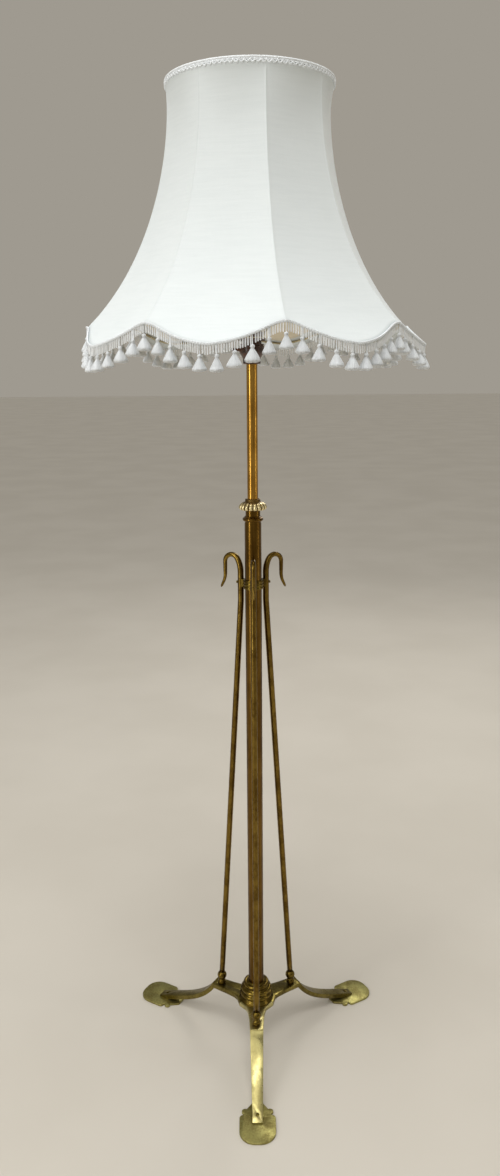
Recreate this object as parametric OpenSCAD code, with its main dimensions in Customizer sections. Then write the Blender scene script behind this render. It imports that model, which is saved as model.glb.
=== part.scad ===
// Telescopic standard lamp: a brass column on three strap legs with pad feet, three brace rods that
// end in hooks, a height-adjusted inner tube under a fluted clamp nut, and a fringed bell shade.
// The axis of the column is Z, the floor is z = 0 and the front leg points towards -Y.

/* [Legs and feet] */
// Height of the flat top of the legs above the floor
knee_h = 75; // [62:1:90]
// Distance from the axis to the knee crease of a leg
knee_r = 83; // [80:1:100]
// Distance from the axis to the end of a leg strap
leg_r = 200; // [180:1:240]
// Width of a leg strap at the knee
strap_w = 21.5; // [18:0.5:26]
// Width of a leg strap at its foot end
strap_end_w = 15.6; // [12:0.2:20]
// Thickness of a leg strap
strap_t = 7.5; // [6:0.5:9]
// Distance from the end of a strap to the tip of its pad foot
pad_nose = 35.5; // [30:0.5:45]
// Width of a pad foot
pad_w = 56; // [50:1:70]
// Thickness of a pad foot
pad_t = 3.5; // [3:0.25:5]

/* [Column] */
// Outer diameter of the column tube
column_d = 25.4; // [24.6:0.2:32]
// Wall of the column tube
column_wall = 1.6; // [1.2:0.1:1.8]
// Height of the top end of the column tube
column_top = 900; // [860:5:1000]
// Diameter of the lowest and widest ring of the hub
hub_d = 55; // [54:0.5:64]

/* [Brace rods] */
// Diameter of a brace rod
rod_d = 9.5; // [8:0.5:10.5]
// Distance from the axis to the foot of a brace rod
rod_foot_r = 68.8; // [66:0.2:72]
// Height of the collar that ties the rods to the column
collar_h = 806; // [760:2:830]
// Diameter of the bar of a hook
hook_d = 8; // [6.5:0.5:8.5]
// Distance across a hook, from the middle of the rod to the middle of the tail
hook_w = 27.6; // [24:0.2:34]

/* [Telescope] */
// Outer diameter of the inner tube
tube_d = 15.9; // [14.5:0.1:16.2]
// Wall of the inner tube
tube_wall = 1.2; // [1:0.1:1.6]
// Height of the top of the inner tube above the column's
tube_rise = 232.6; // [200:1:300]
// Length of inner tube that stays hidden in the column
tube_hidden = 414; // [380:2:450]
// Largest diameter of the clamp nut
nut_d = 42.2; // [40:0.5:50]
// Number of flutes round the clamp nut
nut_flutes = 18; // [14:1:22]

/* [Shade] */
// Height of the top of the shade above the top of the inner tube
shade_rise = 369; // [369:1:400]
// Radius of the shade's top ring
neck_r = 114; // [105:1:125]
// Radius of the shade at the low end of a seam
hem_r = 232; // [210:1:250]
// Height of the shade along a seam
seam_h = 316; // [300:1:340]
// How far the hem drops at the middle of a panel
scallop = 24; // [18:0.5:32]
// Number of panels in the shade
panels = 8; // [8:2:10]
// Turn of the first seam from the front leg, in degrees
seam_turn = 10; // [0:1:45]
// Number of tassels on each panel
panel_tassels = 9; // [7:1:10]

/* [Hidden] */

$fn = 64;
side_turn = 120;                    // angle between neighbouring legs
run_gap = 0.05;                     // radial clearance of a running fit
body_gap = 0.3;                     // clearance between pieces that move past each other

brass = "#9a7534";
pale_brass = "#b9a55c";
steel = "#8d8d8a";
bakelite = "#3a1f14";
ivory = "#ece9df";
fabric = "#eef0ee";

column_r = column_d / 2;
column_bore = column_r - column_wall;
tube_r = tube_d / 2;
tube_bore = tube_r - tube_wall;
rod_r = rod_d / 2;
hub_r = hub_d / 2;

// Legs, from the underside up
leg_low = knee_h - strap_t;
washer_t = 3.5;
washer_r = 26;
base_nut_h = 9;
column_foot = leg_low - washer_t - base_nut_h - 1;
root_r = 33;                        // round part where the three leg roots meet
leg_screw_r = column_r + 6.8;       // circle of the screws that hold the legs to the hub
leg_screw_d = 4;
terminal_screw_d = 5;
rivet_at = leg_r - 12;              // distance from the axis to a foot's rivet
rivet_d = 5;

// Hub rings, as height above the legs and radius
hub_rings = [[10.6, hub_r], [19, hub_r - 1.6], [28, hub_r - 5.7]];
hub_ring_half = 3.6;
hub_h = 33;
cord_h = knee_h + 14.8;             // height of the cord inlet in the back of the hub
cord_hole_r = 4;

// Rods
collar_half = 7;
rod_top_r = column_r + rod_r + 4.9; // distance from the axis to a rod at the collar
rod_bend_h = collar_h - 28;
rod_seat = 14;                      // height of a rod's lower end above the legs
rod_meet = 20;                      // height above the legs where a rod crosses its foot radius
rod_lean = atan((rod_foot_r - rod_top_r) / (rod_bend_h - knee_h - rod_meet));
hook_big_r = 40;                    // bend from the rod into the hook
hook_top_r = 12;                    // bend over the top of the hook
hook_tail_r = 29.5;                 // outward bend at the tail of the hook
hook_bar_r = hook_d / 2;
hook_start = collar_h + 16.5;
hook_turn = acos((hook_big_r + hook_top_r - hook_w) / (hook_big_r - hook_top_r));
hook_top_h = hook_start + (hook_big_r - hook_top_r) * sin(hook_turn);
hook_drop = 19;                     // straight part down the outside of the hook
hook_tail_turn = 27;
hook_tip_l = 10;

// Clamp at the column's top, as heights above the column's end
cap_bead = 6;
cap_neck = 11;
nut_low = 20.6;
nut_high = 37;
cap_mouth = 31.5;
collet_low = 16;
collet_high = 33.4;
cap_neck_r = tube_r + 3.15;
thread_r = tube_r + 2.65;
collet_r = tube_r + 1.35;

// Inner tube
tube_top = column_top + tube_rise;
tube_foot = column_top - tube_hidden;
bush_low = tube_foot + 8;
bush_high = bush_low + 30;

// Lampholder, as heights above the inner tube's top
holder_neck_r = 12.8;
holder_r = 18;
barrel_r = 14.4;
barrel_low = 26;
barrel_high = 54;
support_h = 32;
carrier_h = 36;
ring_h = 37.6;
bulb_h = 31;                        // bottom of the bulb's cap
bulb_cap_r = 11;
bulb_r = 30;
bulb_l = 105;
carrier_r = 50;                     // radius of the ring that carries the shade
carrier_top = 214;
wire_r = 1.6;
carrier_wires = 3;

// Shade
shade_top = tube_top + shade_rise;
ring_h_top = shade_top - 3.6;       // height of the fabric's upper edge
seam_low = ring_h_top - seam_h;
neck_pull = [neck_r - 9, ring_h_top - 58];
hem_pull = [neck_r + 10.6, seam_low + 99];
hem_round = 0.12;                   // how softly the hem turns at a seam
cover_t = 0.8;
lining_in = 4.6;                    // lining's depth behind the face of the fabric
panel_cols = 8;
cols = panels * panel_cols;
rows = 14;
fringe_l = 16.5;
braid_h = 3.4;
fitter_h = tube_top + carrier_top + 2 * wire_r + body_gap;

// Point of a cubic curve at parameter t
function bezier(a, b, c, d, t) =
    pow(1 - t, 3) * a + 3 * t * pow(1 - t, 2) * b + 3 * t * t * (1 - t) * c + t * t * t * d;
// Unit vector across a line of direction d, turned to its right
function right_of(d) = [d[1], -d[0]] / norm(d);
// Point at a radius and height, turned from the front towards +X
function around(r, turn, z) = [r * sin(turn), -r * cos(turn), z];

// ---- Legs ----

function strap_top(t) = bezier([knee_r, knee_h], [knee_r + 0.214 * (leg_r - knee_r), 0.5 * knee_h],
    [knee_r + 0.444 * (leg_r - knee_r), 0.37 * knee_h], [leg_r, pad_t + 2.2], t);
function strap_under(t) = strap_top(t) + strap_t * right_of(strap_top(t + 0.01) - strap_top(t - 0.01));

module leg_side() {
    steps = 16;
    top = [for (i = [0 : steps]) strap_top(i / steps)];
    under = [for (i = [steps : -1 : 1]) strap_under(i / steps)];
    intersection() {
        polygon(concat([[0, leg_low], [0, knee_h]], top, under, [[knee_r - 3, leg_low]]));
        translate([0, pad_t])
            square([leg_r, knee_h]);
    }
}

// Half the outline of a leg from above: a flared root that narrows to the foot
function leg_half(side) = [[root_r * cos(side_turn / 2), side * root_r * sin(side_turn / 2)],
    [root_r * 0.86, side * root_r * 0.51], [root_r + 4, side * (strap_w / 2 + 3.6)],
    [root_r + 18, side * (strap_w / 2 + 1.8)], [knee_r, side * strap_w / 2],
    [leg_r, side * strap_end_w / 2]];

module leg_plan() {
    right = leg_half(-1);
    polygon(concat([[0, 0]], leg_half(1), [for (i = [len(right) - 1 : -1 : 0]) right[i]]));
}

module leg(turn) {
    color(pale_brass)
    rotate(turn - 90)
    difference() {
        intersection() {
            rotate([90, 0, 0])
                translate([0, 0, -40])
                linear_extrude(80)
                leg_side();
            linear_extrude(knee_h + 1)
                leg_plan();
        }
        cylinder(r = column_r, h = knee_h + 1);
        translate([leg_screw_r, 0, 0])
            cylinder(d = leg_screw_d, h = knee_h + 1);
        translate([rod_foot_r + 0.6, 0, 0])
            cylinder(d = terminal_screw_d, h = knee_h + 1);
        translate([rivet_at, 0, 0])
            cylinder(d = rivet_d, h = knee_h);
    }
}

// Outline of a pad foot: a broad rounded lobe, two small ears behind it, and a taper to the strap
module foot_outline() {
    half = pad_w / 2;
    tip = leg_r + pad_nose;
    front_r = 0.84 * half;
    back_r = 6;
    ear_r = 5;
    lobe_back = leg_r - 12;
    ear_at = leg_r - 25;
    for (s = [-1, 1]) {
        translate([tip - front_r, s * (half - front_r)])
            circle(r = front_r);
        translate([lobe_back, s * (half - back_r)])
            circle(r = back_r);
        translate([ear_at, s * (half - back_r - ear_r / 2)])
            circle(r = ear_r);
    }
    translate([lobe_back, -half])
        square([tip - front_r - lobe_back, 2 * half]);
    translate([lobe_back, front_r - half])
        square([tip - lobe_back, 2 * (half - front_r)]);
    polygon([[lobe_back, half - back_r], [ear_at, half - back_r - 1],
        [ear_at - 4, half - back_r - ear_r], [ear_at - 17, strap_w / 2 - 3],
        [ear_at - 17, 3 - strap_w / 2], [ear_at - 4, back_r + ear_r - half],
        [ear_at, 1 + back_r - half], [lobe_back, back_r - half]]);
}

module foot(turn) {
    color(pale_brass)
    rotate(turn - 90)
    difference() {
        linear_extrude(pad_t)
            foot_outline();
        translate([rivet_at, 0, -1])
            cylinder(d = rivet_d, h = pad_t + 2);
    }
}

module foot_rivets() {
    color(pale_brass)
    for (turn = [0, side_turn, -side_turn])
        rotate(turn - 90)
        translate([rivet_at, 0, 0.4])
        cylinder(d = rivet_d, h = pad_t + 2.6);
}

// ---- Hub ----

module hub_body() {
    groove_r = [hub_r + 1.5, hub_r - 3, hub_r - 4.5, hub_r - 9.5];
    rotate_extrude()
    union() {
        polygon([[0, 0], [groove_r[0], 0], [groove_r[0], 1.6], [groove_r[1], 6],
            [groove_r[1], 14], [groove_r[2], 16], [groove_r[2], 23], [groove_r[3], 26],
            [groove_r[3], hub_h - 2.5], [column_r + 1, hub_h], [0, hub_h]]);
        for (ring = hub_rings)
            translate([ring[1] - hub_ring_half, ring[0]])
            circle(r = hub_ring_half);
    }
}

module hub() {
    color(brass)
    difference() {
        translate([0, 0, knee_h])
            hub_body();
        translate([0, 0, knee_h - 1])
            cylinder(r = column_r, h = hub_h + 2);
        for (turn = [0, side_turn, -side_turn])
            rotate(turn - 90)
            translate([leg_screw_r, 0, knee_h - 1])
            cylinder(d = leg_screw_d, h = 12);
        translate([0, column_r - 2, cord_h])
            rotate([-90, 0, 0])
            cylinder(r = cord_hole_r + 1.5, h = hub_r);
    }
}

module base_washer() {
    color(brass)
    difference() {
        translate([0, 0, leg_low - washer_t])
            cylinder(r = washer_r, h = washer_t);
        translate([0, 0, leg_low - washer_t - 1])
            cylinder(r = column_r, h = washer_t + 2);
        for (turn = [0, side_turn, -side_turn])
            rotate(turn - 90)
            translate([leg_screw_r, 0, leg_low - washer_t - 1])
            cylinder(d = leg_screw_d, h = washer_t + 2);
    }
}

module base_nut() {
    color(brass)
    translate([0, 0, leg_low - washer_t - base_nut_h])
    difference() {
        cylinder(r = column_r + 4, h = base_nut_h, $fn = 6);
        translate([0, 0, -1])
            cylinder(r = column_r, h = base_nut_h + 2);
    }
}

module leg_screws() {
    head_h = 2.4;
    color(steel)
    for (turn = [0, side_turn, -side_turn])
        rotate(turn - 90)
        translate([leg_screw_r, 0, leg_low - washer_t - head_h])
        difference() {
            union() {
                cylinder(d = leg_screw_d + 2, h = head_h);
                cylinder(d = leg_screw_d, h = head_h + washer_t + strap_t + 10);
            }
            translate([-4, -0.5, -1])
                cube([8, 1, 2]);
        }
}

module cord_bush() {
    flange_y = hub_r + 0.2;
    color(bakelite)
    translate([0, 0, cord_h])
    rotate([-90, 0, 0])
    difference() {
        union() {
            translate([0, 0, column_r - 1.4])
                cylinder(r = cord_hole_r + 1.5, h = flange_y - column_r + 2);
            translate([0, 0, flange_y])
                cylinder(r = cord_hole_r + 3, h = 1.6);
        }
        cylinder(r = cord_hole_r, h = 2 * hub_r);
    }
}

// ---- Column ----

module column_tube() {
    color(brass)
    difference() {
        translate([0, 0, column_foot])
            cylinder(r = column_r, h = column_top - column_foot);
        translate([0, 0, column_foot - 1])
            cylinder(r = column_bore, h = column_top);
        translate([0, 0, cord_h])
            rotate([-90, 0, 0])
            cylinder(r = cord_hole_r + 1.5, h = column_r + 1);
    }
}

module column_cap() {
    spigot_l = 15;
    color(brass)
    translate([0, 0, column_top])
    difference() {
        union() {
            translate([0, 0, -spigot_l])
                cylinder(r = column_bore, h = spigot_l + 1);
            cylinder(r = column_r - 0.35, h = cap_bead);
            translate([0, 0, cap_bead])
                rotate_extrude()
                union() {
                    square([column_r, 4.5]);
                    translate([column_r, 0.2])
                        circle(r = 2.9);
                    polygon([[0, 0], [column_r + 2, 2], [cap_neck_r, 5.4], [0, 5.4]]);
                }
            translate([0, 0, cap_neck])
                cylinder(r = cap_neck_r, h = nut_low - cap_neck - 0.2);
            translate([0, 0, nut_low - 0.2])
                cylinder(r = thread_r, h = cap_mouth - nut_low + 0.2);
        }
        translate([0, 0, -spigot_l - 1])
            cylinder(r = tube_r + run_gap, h = spigot_l + collet_low + 2);
        translate([0, 0, collet_low])
            cylinder(r = collet_r + run_gap, h = cap_mouth);
    }
}

module collet() {
    slits = 3;
    color(brass)
    translate([0, 0, column_top + collet_low])
    difference() {
        union() {
            cylinder(r = collet_r, h = cap_mouth - collet_low);
            translate([0, 0, cap_mouth - collet_low])
                cylinder(r1 = collet_r, r2 = collet_r - 0.9, h = collet_high - cap_mouth);
        }
        translate([0, 0, -1])
            cylinder(r = tube_r + run_gap, h = collet_high);
        for (i = [0 : slits - 1])
            rotate(i * 360 / slits)
            translate([0, -0.4, 5])
            cube([collet_r + 1, 0.8, collet_high]);
    }
}

module clamp_nut() {
    nut_r = nut_d / 2;
    flute_r = 1.5;
    color(pale_brass)
    translate([0, 0, column_top])
    difference() {
        rotate_extrude()
            polygon([[0, nut_low], [nut_r - 3, nut_low], [nut_r - 0.6, nut_low + 1.2],
                [nut_r, nut_low + 2.8], [nut_r - 0.5, nut_low + 5], [nut_r - 2, nut_low + 8],
                [nut_r - 4.6, nut_low + 11], [nut_r - 8.2, nut_low + 12], [nut_r - 9.7, nut_low + 13],
                [nut_r - 9.7, nut_high - 0.8], [nut_r - 10.5, nut_high], [0, nut_high]]);
        for (i = [0 : nut_flutes - 1])
            rotate(i * 360 / nut_flutes)
            translate([nut_r + 1.3, 0, nut_low - 1])
            rotate([0, -20, 0])
            cylinder(r = flute_r, h = 16);
        translate([0, 0, nut_low - 1])
            cylinder(r = thread_r + run_gap, h = cap_mouth - nut_low + 1.1);
        translate([0, 0, cap_mouth])
            cylinder(r1 = collet_r + run_gap, r2 = collet_r + run_gap - 0.9,
                h = collet_high - cap_mouth + 0.1);
        translate([0, 0, cap_mouth])
            cylinder(r = tube_r + body_gap, h = nut_high);
    }
}

// ---- Rods ----

// Bead that joins two lengths of bar or wire end to end
module joint_bead(r) {
    sphere(r = r + 0.05);
}

// Round bar bent about a centre on the X axis, starting upright at the origin; each end stops short
// inside its joint bead
module bend(centre, turn, r) {
    short = 0.3 / abs(centre) * 180 / PI;
    translate([centre, 0, 0])
        rotate([90, 0, 0])
        rotate([0, 0, (centre > 0 ? 180 - turn : 0) + short])
        rotate_extrude(angle = turn - 2 * short)
        translate([abs(centre), 0])
        circle(r = r);
}

// Straight round bar along Z that stops short inside its joint beads
module bar(r, length) {
    translate([0, 0, 0.3])
        cylinder(r = r, h = length - 0.6);
    joint_bead(r);
}

module hook() {
    top_centre = hook_w - hook_top_r;
    drop_h = hook_top_h - hook_start - hook_drop;
    tail_x = hook_tail_r * (1 - cos(hook_tail_turn));
    tail_z = hook_tail_r * sin(hook_tail_turn);
    joint_bead(rod_r);
    bend(hook_big_r, hook_turn, hook_bar_r);
    rise = hook_top_r * sin(hook_turn);
    translate([top_centre - hook_top_r * cos(hook_turn), 0, drop_h + hook_drop + rise])
        joint_bead(hook_bar_r);
    translate([hook_w, 0, drop_h + hook_drop]) {
        bend(-hook_top_r, 180 - hook_turn, hook_bar_r);
        joint_bead(hook_bar_r);
    }
    translate([hook_w, 0, drop_h]) {
        bar(hook_bar_r, hook_drop);
        rotate([180, 0, 0])
            bend(hook_tail_r, hook_tail_turn, hook_bar_r);
    }
    translate([hook_w + tail_x, 0, drop_h - tail_z]) {
        joint_bead(hook_bar_r);
        rotate([0, 180 - hook_tail_turn, 0]) {
            translate([0, 0, 0.3])
                cylinder(r1 = hook_bar_r, r2 = 0.45 * hook_bar_r, h = hook_tip_l);
            translate([0, 0, hook_tip_l])
                joint_bead(0.45 * hook_bar_r);
        }
    }
}

module rod(turn) {
    length = (rod_bend_h - knee_h - rod_seat) / cos(rod_lean);
    color(brass)
    rotate(turn - 90)
    difference() {
        translate([rod_top_r, 0, 0]) {
            translate([0, 0, rod_bend_h])
                bar(rod_r, hook_start - rod_bend_h);
            translate([0, 0, hook_start])
                hook();
            translate([0, 0, rod_bend_h])
                rotate([0, 180 - rod_lean, 0])
                translate([0, 0, 0.3])
                cylinder(r = rod_r, h = length);
        }
        translate([rod_top_r - rod_d, 0, collar_h])
            rotate([0, 90, 0])
            cylinder(d = 2.6, h = 2 * rod_d);
    }
}

module rod_terminal(turn) {
    ball_r = 8;
    bead_r = 7;
    color(brass)
    rotate(turn - 90)
    translate([rod_foot_r, 0, knee_h])
    difference() {
        intersection() {
            union() {
                translate([0, 0, 17])
                    sphere(r = ball_r);
                translate([0.6, 0, 4.2])
                    sphere(r = bead_r);
                translate([0.4, 0, 0])
                    cylinder(r = 5.2, h = 12);
            }
            translate([-20, -20, 0])
                cube([40, 40, 40]);
        }
        translate([(rod_meet - rod_seat) * tan(rod_lean), 0, rod_seat])
            rotate([0, -rod_lean, 0])
            translate([0, 0, -0.3])
            cylinder(r = rod_r, h = 20);
        translate([0.6, 0, -1])
            cylinder(d = terminal_screw_d, h = 11);
    }
}

module terminal_screws() {
    head_h = 3;
    color(steel)
    for (turn = [0, side_turn, -side_turn])
        rotate(turn - 90)
        translate([rod_foot_r + 0.6, 0, leg_low - head_h])
        difference() {
            union() {
                cylinder(d = terminal_screw_d + 3, h = head_h);
                cylinder(d = terminal_screw_d, h = head_h + strap_t + 9);
            }
            translate([-6, -0.6, -1])
                cube([12, 1.2, 2.2]);
        }
}

module rod_collar() {
    ridge_r = 1.3;
    ridge_pitch = 4.6;
    lug_w = 8;
    color(brass)
    translate([0, 0, collar_h])
    difference() {
        union() {
            rotate_extrude()
                union() {
                    translate([0, -collar_half])
                        square([column_r + 2.2, 2 * collar_half]);
                    for (z = [-ridge_pitch, 0, ridge_pitch])
                        translate([column_r + 2.2, z])
                        circle(r = ridge_r);
                }
            for (turn = [0, side_turn, -side_turn])
                rotate(turn - 90)
                translate([column_r, -lug_w / 2, -collar_half + 1])
                cube([rod_top_r - column_r - 1, lug_w, 2 * collar_half - 2]);
        }
        translate([0, 0, -collar_half - 1])
            cylinder(r = column_r, h = 2 * collar_half + 2);
        for (turn = [0, side_turn, -side_turn])
            rotate(turn - 90) {
                translate([rod_top_r, 0, -collar_half - 1])
                    cylinder(r = rod_r, h = 2 * collar_half + 2);
                translate([column_r + 0.6, 0, 0])
                    rotate([0, 90, 0])
                    cylinder(d = 2.6, h = rod_top_r);
            }
    }
}

module collar_screws() {
    head_d = 4.4;
    color(brass)
    for (turn = [0, side_turn, -side_turn])
        rotate(turn - 90)
        translate([0, 0, collar_h])
        rotate([0, 90, 0])
        difference() {
            union() {
                translate([0, 0, column_r + 1])
                    cylinder(d = 2.6, h = rod_top_r + rod_r - column_r - 0.8);
                translate([0, 0, rod_top_r + rod_r])
                    cylinder(d = head_d, h = 2.2);
            }
            translate([-3, -0.35, rod_top_r + rod_r + 1.4])
                cube([6, 0.7, 2]);
        }
}

// ---- Inner tube ----

module guide_bush() {
    color("#c9b78c")
    difference() {
        translate([0, 0, bush_low])
            cylinder(r = column_bore - run_gap, h = bush_high - bush_low);
        translate([0, 0, bush_low - 1])
            cylinder(r = tube_r + run_gap, h = bush_high - bush_low + 2);
    }
}

module inner_tube() {
    color(brass)
    difference() {
        translate([0, 0, tube_foot])
            cylinder(r = tube_r, h = tube_top - tube_foot);
        translate([0, 0, tube_foot - 1])
            cylinder(r = tube_bore, h = tube_top - tube_foot + 2);
    }
}

// Ring fixed round the inner tube, above or below the guide bush
module tube_collar(low, high) {
    color(steel)
    difference() {
        translate([0, 0, low])
            cylinder(r = tube_r + 1.9, h = high - low);
        translate([0, 0, low - 1])
            cylinder(r = tube_r, h = high - low + 2);
    }
}

// ---- Lampholder ----

module nipple() {
    color(brass)
    translate([0, 0, tube_top])
    difference() {
        union() {
            translate([0, 0, -22])
                cylinder(r = tube_bore, h = 22);
            cylinder(r = 5, h = 14);
        }
        translate([0, 0, -23])
            cylinder(r = 3.2, h = 40);
    }
}

module holder_cap() {
    color(bakelite)
    translate([0, 0, tube_top])
    difference() {
        rotate_extrude()
            polygon([[0, 0], [holder_neck_r - 1, 0], [holder_neck_r, 1], [holder_neck_r, 8],
                [holder_neck_r + 1.4, 10.4], [holder_r - 0.8, 15], [holder_r, 17.5],
                [holder_r, barrel_low - 1], [holder_r - 1, barrel_low], [0, barrel_low]]);
        translate([0, 0, -1])
            cylinder(r = 5, h = 20);
        translate([0, 0, 12])
            cylinder(r = barrel_r - 2, h = 20);
        translate([-30, 0, 20.5])
            rotate([0, 90, 0])
            cylinder(r = 2.2, h = 60);
    }
}

module terminal_block() {
    color(ivory)
    translate([0, 0, tube_top + 23.4])
    difference() {
        cylinder(r = barrel_r - 3, h = 5.2);
        for (s = [-1, 1])
            translate([0, s * 5, -1])
            cylinder(r = 2, h = 8);
    }
}

module contact_pins() {
    color(brass)
    for (s = [-1, 1])
        translate([0, s * 5, tube_top + 22.4])
        cylinder(r = 2, h = bulb_h - 22.4);
}

module holder_barrel() {
    slot_w = 2.6;
    color(bakelite)
    translate([0, 0, tube_top + barrel_low])
    difference() {
        union() {
            cylinder(r = barrel_r, h = barrel_high - barrel_low);
            cylinder(r = holder_r - 0.6, h = 2);
        }
        translate([0, 0, 2.6])
            cylinder(r = bulb_cap_r + 0.25, h = barrel_high);
        translate([0, 0, -1])
            cylinder(r = barrel_r - 3, h = 5);
        for (s = [0, 180])
            rotate(s)
            translate([bulb_cap_r - 1, -slot_w / 2, barrel_high - barrel_low - 14])
            cube([3.2, slot_w, 20]);
    }
}

module switch_bar() {
    bar_r = 2.15;
    color(bakelite)
    translate([0, 0, tube_top + 20.5])
    rotate([0, 90, 0])
    union() {
        translate([0, 0, -holder_r - 9])
            cylinder(r = bar_r, h = 2 * holder_r + 12);
        translate([0, 0, -holder_r - 10])
            cylinder(r = bar_r, h = 2);
    }
}

// Threaded ring round the lampholder's barrel
module barrel_ring(low, high, r) {
    grips = 12;
    color(bakelite)
    translate([0, 0, tube_top + low])
    difference() {
        cylinder(r = r, h = high - low);
        translate([0, 0, -1])
            cylinder(r = barrel_r, h = high - low + 2);
        for (i = [0 : grips - 1])
            rotate(i * 360 / grips)
            translate([r + 0.6, 0, -1])
            cylinder(r = 1.3, h = high - low + 2);
    }
}

module carrier_ring() {
    color(pale_brass)
    translate([0, 0, tube_top + carrier_h])
    difference() {
        cylinder(r = barrel_r + 5.2, h = ring_h - carrier_h);
        translate([0, 0, -1])
            cylinder(r = barrel_r, h = 4);
    }
}

module carrier_arms() {
    low = [barrel_r + 3.4, ring_h + wire_r];
    knee = [carrier_r, ring_h + 40];
    lean = atan((knee[0] - low[0]) / (knee[1] - low[1]));
    color(pale_brass)
    translate([0, 0, tube_top])
    union() {
        for (i = [0 : carrier_wires - 1])
            rotate(i * 360 / carrier_wires + 30) {
                translate([low[0], 0, low[1]])
                    rotate([0, lean, 0])
                    bar(wire_r, norm(knee - low));
                translate([knee[0], 0, knee[1]])
                    bar(wire_r, carrier_top - knee[1]);
            }
        translate([0, 0, carrier_top])
            rotate_extrude()
            translate([carrier_r, 0])
            circle(r = wire_r);
    }
}

// ---- Bulb ----

module bulb_cap() {
    color(brass)
    translate([0, 0, tube_top + bulb_h])
    difference() {
        cylinder(r = bulb_cap_r, h = 25);
        translate([0, 0, 2])
            cylinder(r = bulb_cap_r - 0.6, h = 30);
    }
}

module bulb_pins() {
    color(brass)
    translate([0, 0, tube_top + bulb_h + 11])
    for (s = [0, 180])
        rotate([0, 0, s])
        translate([bulb_cap_r, 0, 0])
        rotate([0, 90, 0])
        cylinder(r = 1, h = 1.8);
}

module bulb_glass() {
    neck_h = 23;
    globe_h = bulb_l - bulb_r;
    wall = 0.8;
    color("#f3f2ea", 0.6)
    translate([0, 0, tube_top + bulb_h + 2.2])
    difference() {
        bulb_shape(bulb_r, bulb_cap_r - 0.7, neck_h, globe_h, 0);
        bulb_shape(bulb_r - wall, bulb_cap_r - 0.7 - wall, neck_h, globe_h, wall);
    }
}

// Globe on a neck, joined by a cone that meets the globe
module bulb_shape(r, neck, neck_h, globe_h, lift) {
    join = 35;
    rotate_extrude()
    intersection() {
        union() {
            translate([0, globe_h])
                circle(r = r);
            polygon([[0, lift], [neck, lift], [neck, neck_h], [neck + 2.5, neck_h + 8],
                [r * cos(join), globe_h - r * sin(join)], [0, globe_h]]);
        }
        square([r + 1, globe_h + r + 1]);
    }
}

module bulb_filament() {
    color("#c8c4b4")
    translate([0, 0, tube_top + bulb_h + 3.1])
    union() {
        cylinder(r = 3, h = 46);
        for (s = [-1, 1])
            translate([0, 0, 44])
            rotate([s * 30, 0, 0])
            cylinder(r = 0.5, h = 28);
        translate([0, 15, 67.4])
            rotate([90, 0, 0])
            cylinder(r = 0.8, h = 30);
    }
}

// ---- Shade ----

// Radius and height of the seam line at parameter t, which passes 1 where the hem drops
function seam(t) = bezier([neck_r, ring_h_top], neck_pull, hem_pull, [hem_r, seam_low], t);
// How far a column lies from the middle of its panel, -1 to 1
function across(i) = 2 * (i / panel_cols - floor(i / panel_cols)) - 1;
// Ratio of the flat panel's radius to the seam's
function chord(x) = cos(180 / panels) / cos(x * 180 / panels);
// How flat the panels are: round at the top ring, flat from a third of the way down
function flatness(t) = t > 0.36 ? 1 : sin(90 * t / 0.36);
// Drop of the hem, 0 at a rounded peak on each seam and 1 at the middle of a panel
function swag(x) = let (s = sqrt(pow(1 - abs(x), 2) + pow(hem_round, 2)) - hem_round) s * (2 - s);
// Parameter where a panel's hem lies
function hem_t(x) = 1 + scallop / (3.1 * (hem_pull[1] - seam_low)) * swag(x);
function turn_of(i) = seam_turn + 360 * i / cols;
// Point of the fabric's face in column i, a fraction s of the way down, moved in by depth
function face_point(i, s, depth) =
    let (x = across(i), t = s * hem_t(x), p = seam(t))
    around(p[0] * (1 - flatness(t) * (1 - chord(x))) - depth, turn_of(i), p[1]);

// Closed shell between two depths behind the face, from the top ring to the hem
module shell(outer, inner, low) {
    face = [for (j = [0 : rows]) for (i = [0 : cols - 1]) face_point(i, low * j / rows, outer)];
    back = [for (j = [0 : rows]) for (i = [0 : cols - 1]) face_point(i, low * j / rows, inner)];
    n = len(face);
    function at(i, j) = j * cols + i % cols;
    polyhedron(points = concat(face, back), faces = concat(
        [for (j = [0 : rows - 1]) for (i = [0 : cols - 1])
            [at(i, j), at(i + 1, j), at(i + 1, j + 1), at(i, j + 1)]],
        [for (j = [0 : rows - 1]) for (i = [0 : cols - 1])
            [n + at(i, j + 1), n + at(i + 1, j + 1), n + at(i + 1, j), n + at(i, j)]],
        [for (i = [0 : cols - 1]) [n + at(i, 0), n + at(i + 1, 0), at(i + 1, 0), at(i, 0)]],
        [for (i = [0 : cols - 1])
            [at(i, rows), at(i + 1, rows), n + at(i + 1, rows), n + at(i, rows)]]));
}

// Closed ring along the hem: a flat band from the face outwards, between two drops
module hem_band(drop_high, drop_low, out_low, out_high) {
    hem = [for (i = [0 : cols - 1]) face_point(i, 1, 0)];
    function shift(p, out, drop) = let (r = norm([p[0], p[1]]))
        [p[0] * (r + out) / r, p[1] * (r + out) / r, p[2] - drop];
    corners = [[out_low, drop_high], [out_high, drop_high], [out_high, drop_low], [out_low, drop_low]];
    polyhedron(
        points = [for (p = hem) for (c = corners) shift(p, c[0], c[1])],
        faces = [for (i = [0 : cols - 1]) for (k = [0 : 3])
            let (a = 4 * i, b = 4 * ((i + 1) % cols), m = (k + 1) % 4) [a + k, b + k, b + m, a + m]]);
}

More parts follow.
